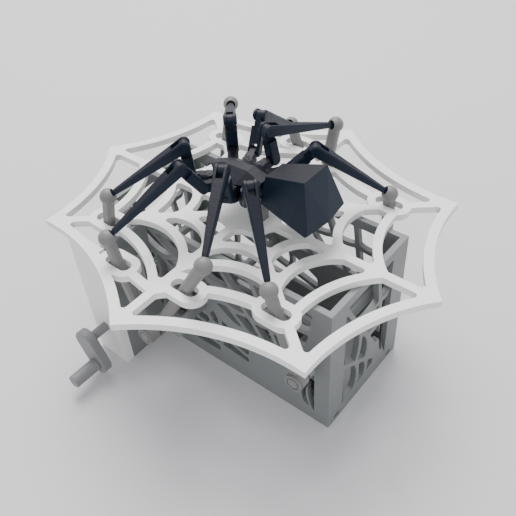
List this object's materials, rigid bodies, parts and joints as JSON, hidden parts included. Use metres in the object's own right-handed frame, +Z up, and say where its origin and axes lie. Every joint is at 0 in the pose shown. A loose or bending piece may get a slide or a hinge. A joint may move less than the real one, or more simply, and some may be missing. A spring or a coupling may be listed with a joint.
{
  "type": "hand-cranked walking spider automaton",
  "caption": "Printed spider on an open web platform whose legs stride when a hand crank turns the gear train and crankshafts in the box frame below.",
  "frame": {"origin": "On the standing surface, under the middle of the web platform.", "axes": "+X runs along the box frame towards the abdomen end, -Y points to the hand crank side, +Z is up."},
  "size_m": [0.24, 0.2167, 0.1464],
  "materials": {
    "web_white": "warm white printed plastic, fine layer lines",
    "frame_grey": "bluish grey printed plastic, fine layer lines",
    "gear_grey": "grey printed plastic, fine layer lines",
    "rod_grey": "lighter warm grey printed plastic",
    "crank_grey": "darker grey printed plastic",
    "spider_blue": "dark colour-shift navy printed plastic, visible layers"
  },
  "bodies": {
    "frame": {"web_platform": "web_white", "side_panel_near": "frame_grey", "side_panel_far": "frame_grey", "end_panel_left": "frame_grey", "end_panel_right": "frame_grey", "bay_wall": "frame_grey", "crank_leg_plate": "web_white", "gear_plate": "gear_grey", "idler_axles": "gear_grey", "body_post": "rod_grey", "cephalothorax": "spider_blue", "abdomen": "spider_blue"},
    "crank": {"drive_shaft": "crank_grey", "crank_arm": "crank_grey"},
    "crank_knob": {"crank_knob": "crank_grey"},
    "transfer_gear": {"transfer_gear": "gear_grey"},
    "idler_gear_first": {"idler_gear_first": "gear_grey"},
    "idler_gear_large": {"idler_gear_large": "gear_grey"},
    "idler_gear_last": {"idler_gear_last": "gear_grey"},
    "crankshaft_left": {"crankshaft_left": "gear_grey", "crank_gear_left": "gear_grey", "crank_arms_left": "gear_grey"},
    "crankshaft_mid": {"crankshaft_mid": "gear_grey", "crank_gear_mid": "gear_grey", "crank_arms_mid": "gear_grey"},
    "crankshaft_right": {"crankshaft_right": "gear_grey", "crank_gear_right": "gear_grey", "crank_arms_right": "gear_grey"},
    "coxa_l1": {"coxa_l1": "spider_blue"},
    "femur_l1": {"femur_l1": "spider_blue"},
    "tibia_l1": {"tibia_l1": "spider_blue"},
    "leg_rod_l1": {"leg_rod_l1": "rod_grey"},
    "coxa_l2": {"coxa_l2": "spider_blue"},
    "femur_l2": {"femur_l2": "spider_blue"},
    "tibia_l2": {"tibia_l2": "spider_blue"},
    "leg_rod_l2": {"leg_rod_l2": "rod_grey"},
    "coxa_l3": {"coxa_l3": "spider_blue"},
    "femur_l3": {"femur_l3": "spider_blue"},
    "tibia_l3": {"tibia_l3": "spider_blue"},
    "leg_rod_l3": {"leg_rod_l3": "rod_grey"},
    "coxa_l4": {"coxa_l4": "spider_blue"},
    "femur_l4": {"femur_l4": "spider_blue"},
    "tibia_l4": {"tibia_l4": "spider_blue"},
    "leg_rod_l4": {"leg_rod_l4": "rod_grey"},
    "coxa_r1": {"coxa_r1": "spider_blue"},
    "femur_r1": {"femur_r1": "spider_blue"},
    "tibia_r1": {"tibia_r1": "spider_blue"},
    "leg_rod_r1": {"leg_rod_r1": "rod_grey"},
    "coxa_r2": {"coxa_r2": "spider_blue"},
    "femur_r2": {"femur_r2": "spider_blue"},
    "tibia_r2": {"tibia_r2": "spider_blue"},
    "leg_rod_r2": {"leg_rod_r2": "rod_grey"},
    "coxa_r3": {"coxa_r3": "spider_blue"},
    "femur_r3": {"femur_r3": "spider_blue"},
    "tibia_r3": {"tibia_r3": "spider_blue"},
    "leg_rod_r3": {"leg_rod_r3": "rod_grey"},
    "coxa_r4": {"coxa_r4": "spider_blue"},
    "femur_r4": {"femur_r4": "spider_blue"},
    "tibia_r4": {"tibia_r4": "spider_blue"},
    "leg_rod_r4": {"leg_rod_r4": "rod_grey"}
  },
  "joints": [
    {"name": "crank_spin", "type": "hinge", "parent": "frame", "child": "crank", "pos_m": [-0.062, -0.0685, 0.02657], "axis": [0, -1, 0], "continuous": true},
    {"name": "knob_spin", "type": "hinge", "parent": "crank", "child": "crank_knob", "pos_m": [-0.05539, -0.092, 0.012], "axis": [0, -1, 0], "continuous": true},
    {"name": "transfer_gear_spin", "type": "hinge", "parent": "frame", "child": "transfer_gear", "pos_m": [-0.03775, -0.0303, 0.04423], "axis": [0, -1, 0], "continuous": true},
    {"name": "crankshaft_left_spin", "type": "hinge", "parent": "frame", "child": "crankshaft_left", "pos_m": [-0.066, -0.0303, 0.048], "axis": [0, -1, 0], "continuous": true},
    {"name": "crankshaft_mid_spin", "type": "hinge", "parent": "frame", "child": "crankshaft_mid", "pos_m": [-0.0095, -0.0303, 0.048], "axis": [0, -1, 0], "continuous": true},
    {"name": "idler_gear_first_spin", "type": "hinge", "parent": "frame", "child": "idler_gear_first", "pos_m": [-0.00137, -0.0303, 0.03027], "axis": [0, -1, 0], "continuous": true},
    {"name": "idler_gear_large_spin", "type": "hinge", "parent": "frame", "child": "idler_gear_large", "pos_m": [0.024, -0.0303, 0.037], "axis": [0, -1, 0], "continuous": true},
    {"name": "idler_gear_last_spin", "type": "hinge", "parent": "frame", "child": "idler_gear_last", "pos_m": [0.05024, -0.0303, 0.03651], "axis": [0, -1, 0], "continuous": true},
    {"name": "crankshaft_right_spin", "type": "hinge", "parent": "frame", "child": "crankshaft_right", "pos_m": [0.066, -0.0303, 0.048], "axis": [0, -1, 0], "continuous": true},
    {"name": "stride_l1", "type": "hinge", "parent": "frame", "child": "coxa_l1", "pos_m": [-0.019, -0.0105, 0.1205], "axis": [0, 0, 1], "range_deg": [-4, 4]},
    {"name": "lift_l1", "type": "hinge", "parent": "coxa_l1", "child": "femur_l1", "pos_m": [-0.02542, -0.01751, 0.1225], "axis": [0.7375, -0.6753, 0], "range_deg": [-7.74, 7.74]},
    {"name": "knee_l1", "type": "hinge", "parent": "femur_l1", "child": "tibia_l1", "pos_m": [-0.02637, -0.01855, 0.14295], "axis": [0.7375, -0.6753, 0], "range_deg": [-9.71, 9.71]},
    {"name": "foot_l1", "type": "hinge", "parent": "tibia_l1", "child": "leg_rod_l1", "pos_m": [-0.057, -0.052, 0.1165], "axis": [-0.1969, 0.8094, -0.5533], "range_deg": [-7.38, 7.38]},
    {"name": "stride_l2", "type": "hinge", "parent": "frame", "child": "coxa_l2", "pos_m": [-0.01, -0.0125, 0.1205], "axis": [0, 0, 1], "range_deg": [-3.2, 3.2]},
    {"name": "lift_l2", "type": "hinge", "parent": "coxa_l2", "child": "femur_l2", "pos_m": [-0.01357, -0.02131, 0.1225], "axis": [0.9269, -0.3753, 0], "range_deg": [-5.28, 5.28]},
    {"name": "knee_l2", "type": "hinge", "parent": "femur_l2", "child": "tibia_l2", "pos_m": [-0.01782, -0.03181, 0.13958], "axis": [0.9269, -0.3753, 0], "range_deg": [-5.17, 5.17]},
    {"name": "foot_l2", "type": "hinge", "parent": "tibia_l2", "child": "leg_rod_l2", "pos_m": [-0.0347, -0.0735, 0.1125], "axis": [0.0214, 0.747, -0.6645], "range_deg": [-4.92, 4.92]},
    {"name": "stride_l3", "type": "hinge", "parent": "frame", "child": "coxa_l3", "pos_m": [-0.001, -0.0125, 0.1205], "axis": [0, 0, 1], "range_deg": [-2.5, 2.5]},
    {"name": "lift_l3", "type": "hinge", "parent": "coxa_l3", "child": "femur_l3", "pos_m": [0.00349, -0.02087, 0.1225], "axis": [0.881, 0.4731, 0], "range_deg": [-6.13, 6.13]},
    {"name": "knee_l3", "type": "hinge", "parent": "femur_l3", "child": "tibia_l3", "pos_m": [0.00527, -0.02417, 0.14266], "axis": [0.881, 0.4731, 0], "range_deg": [-4.27, 4.27]},
    {"name": "foot_l3", "type": "hinge", "parent": "tibia_l3", "child": "leg_rod_l3", "pos_m": [0.028, -0.0665, 0.1215], "axis": [-0.4781, 0.4675, -0.7436], "range_deg": [-3.44, 3.44]},
    {"name": "stride_l4", "type": "hinge", "parent": "frame", "child": "coxa_l4", "pos_m": [0.008, -0.0105, 0.1205], "axis": [0, 0, 1], "range_deg": [-2.4, 2.4]},
    {"name": "lift_l4", "type": "hinge", "parent": "coxa_l4", "child": "femur_l4", "pos_m": [0.01514, -0.01676, 0.1225], "axis": [0.6595, 0.7517, 0], "range_deg": [-5.1, 5.1]},
    {"name": "knee_l4", "type": "hinge", "parent": "femur_l4", "child": "tibia_l4", "pos_m": [0.02318, -0.02381, 0.13999], "axis": [0.6595, 0.7517, 0], "range_deg": [-7.94, 7.94]},
    {"name": "foot_l4", "type": "hinge", "parent": "tibia_l4", "child": "leg_rod_l4", "pos_m": [0.0553, -0.052, 0.1095], "axis": [0.2651, 0.8997, -0.3468], "range_deg": [-7.07, 7.07]},
    {"name": "stride_r1", "type": "hinge", "parent": "frame", "child": "coxa_r1", "pos_m": [-0.019, 0.0105, 0.1205], "axis": [0, 0, 1], "range_deg": [-4, 4]},
    {"name": "lift_r1", "type": "hinge", "parent": "coxa_r1", "child": "femur_r1", "pos_m": [-0.02532, 0.01759, 0.1225], "axis": [-0.7464, -0.6655, 0], "range_deg": [-9.33, 9.33]},
    {"name": "knee_r1", "type": "hinge", "parent": "femur_r1", "child": "tibia_r1", "pos_m": [-0.02312, 0.01511, 0.14273], "axis": [-0.7464, -0.6655, 0], "range_deg": [-10.1, 10.1]},
    {"name": "foot_r1", "type": "hinge", "parent": "tibia_r1", "child": "leg_rod_r1", "pos_m": [-0.056, 0.052, 0.125], "axis": [-0.0963, -0.7294, -0.6772], "range_deg": [-6.03, 6.03]},
    {"name": "stride_r2", "type": "hinge", "parent": "frame", "child": "coxa_r2", "pos_m": [-0.01, 0.0125, 0.1205], "axis": [0, 0, 1], "range_deg": [-3.5, 3.5]},
    {"name": "lift_r2", "type": "hinge", "parent": "coxa_r2", "child": "femur_r2", "pos_m": [-0.01227, 0.02173, 0.1225], "axis": [-0.9711, -0.2388, 0], "range_deg": [-4.58, 4.58]},
    {"name": "knee_r2", "type": "hinge", "parent": "femur_r2", "child": "tibia_r2", "pos_m": [-0.01474, 0.03179, 0.14019], "axis": [-0.9711, -0.2388, 0], "range_deg": [-3.73, 3.73]},
    {"name": "foot_r2", "type": "hinge", "parent": "tibia_r2", "child": "leg_rod_r2", "pos_m": [-0.025, 0.0735, 0.11], "axis": [0.1647, -0.6805, -0.7141], "range_deg": [-5.01, 5.01]},
    {"name": "stride_r3", "type": "hinge", "parent": "frame", "child": "coxa_r3", "pos_m": [-0.001, 0.0125, 0.1205], "axis": [0, 0, 1], "range_deg": [-4, 4]},
    {"name": "lift_r3", "type": "hinge", "parent": "coxa_r3", "child": "femur_r3", "pos_m": [0.00138, 0.0217, 0.1225], "axis": [-0.968, 0.251, 0], "range_deg": [-3.88, 3.88]},
    {"name": "knee_r3", "type": "hinge", "parent": "femur_r3", "child": "tibia_r3", "pos_m": [0.00051, 0.01832, 0.1427], "axis": [-0.968, 0.251, 0], "range_deg": [-2.73, 2.73]},
    {"name": "foot_r3", "type": "hinge", "parent": "tibia_r3", "child": "leg_rod_r3", "pos_m": [0.013, 0.0665, 0.126], "axis": [-0.2217, -0.5311, -0.8178], "range_deg": [-5, 5]},
    {"name": "stride_r4", "type": "hinge", "parent": "frame", "child": "coxa_r4", "pos_m": [0.008, 0.0105, 0.1205], "axis": [0, 0, 1], "range_deg": [-2.3, 2.3]},
    {"name": "lift_r4", "type": "hinge", "parent": "coxa_r4", "child": "femur_r4", "pos_m": [0.01542, 0.01643, 0.1225], "axis": [-0.6238, 0.7816, 0], "range_deg": [-7.64, 7.64]},
    {"name": "knee_r4", "type": "hinge", "parent": "femur_r4", "child": "tibia_r4", "pos_m": [0.02731, 0.02592, 0.13624], "axis": [-0.6238, 0.7816, 0], "range_deg": [-10.5, 10.5]},
    {"name": "foot_r4", "type": "hinge", "parent": "tibia_r4", "child": "leg_rod_r4", "pos_m": [0.06, 0.052, 0.1045], "axis": [0.2587, -0.904, -0.3405], "range_deg": [-6.9, 6.9]}
  ],
  "couplings": [
    {"joint": "transfer_gear_spin", "follows": "crank_spin", "ratio": -0.66667},
    {"joint": "crankshaft_left_spin", "follows": "crank_spin", "ratio": 1.1429},
    {"joint": "crankshaft_mid_spin", "follows": "crank_spin", "ratio": 1.1429},
    {"joint": "idler_gear_first_spin", "follows": "crank_spin", "ratio": -1.3333},
    {"joint": "idler_gear_large_spin", "follows": "crank_spin", "ratio": 0.69565},
    {"joint": "idler_gear_last_spin", "follows": "crank_spin", "ratio": -1.3333},
    {"joint": "crankshaft_right_spin", "follows": "crank_spin", "ratio": 1.1429},
    {"joint": "lift_l1", "follows": "stride_l1", "ratio": -1.8954},
    {"joint": "knee_l1", "follows": "stride_l1", "ratio": 2.3779},
    {"joint": "foot_l1", "follows": "stride_l1", "ratio": 1.8072},
    {"joint": "lift_l2", "follows": "stride_l2", "ratio": -1.6152},
    {"joint": "knee_l2", "follows": "stride_l2", "ratio": 1.5804},
    {"joint": "foot_l2", "follows": "stride_l2", "ratio": 1.505},
    {"joint": "lift_l3", "follows": "stride_l3", "ratio": 2.3992},
    {"joint": "knee_l3", "follows": "stride_l3", "ratio": -1.6694},
    {"joint": "foot_l3", "follows": "stride_l3", "ratio": 1.3449},
    {"joint": "lift_l4", "follows": "stride_l4", "ratio": 2.0797},
    {"joint": "knee_l4", "follows": "stride_l4", "ratio": -3.2386},
    {"joint": "foot_l4", "follows": "stride_l4", "ratio": 2.8834},
    {"joint": "lift_r1", "follows": "stride_r1", "ratio": 2.2833},
    {"joint": "knee_r1", "follows": "stride_r1", "ratio": -2.4739},
    {"joint": "foot_r1", "follows": "stride_r1", "ratio": 1.4766},
    {"joint": "lift_r2", "follows": "stride_r2", "ratio": 1.2786},
    {"joint": "knee_r2", "follows": "stride_r2", "ratio": -1.0412},
    {"joint": "foot_r2", "follows": "stride_r2", "ratio": 1.4005},
    {"joint": "lift_r3", "follows": "stride_r3", "ratio": -0.94743},
    {"joint": "knee_r3", "follows": "stride_r3", "ratio": 0.66743},
    {"joint": "foot_r3", "follows": "stride_r3", "ratio": 1.2228},
    {"joint": "lift_r4", "follows": "stride_r4", "ratio": -3.2526},
    {"joint": "knee_r4", "follows": "stride_r4", "ratio": 4.4708},
    {"joint": "foot_r4", "follows": "stride_r4", "ratio": 2.9372}
  ]
}
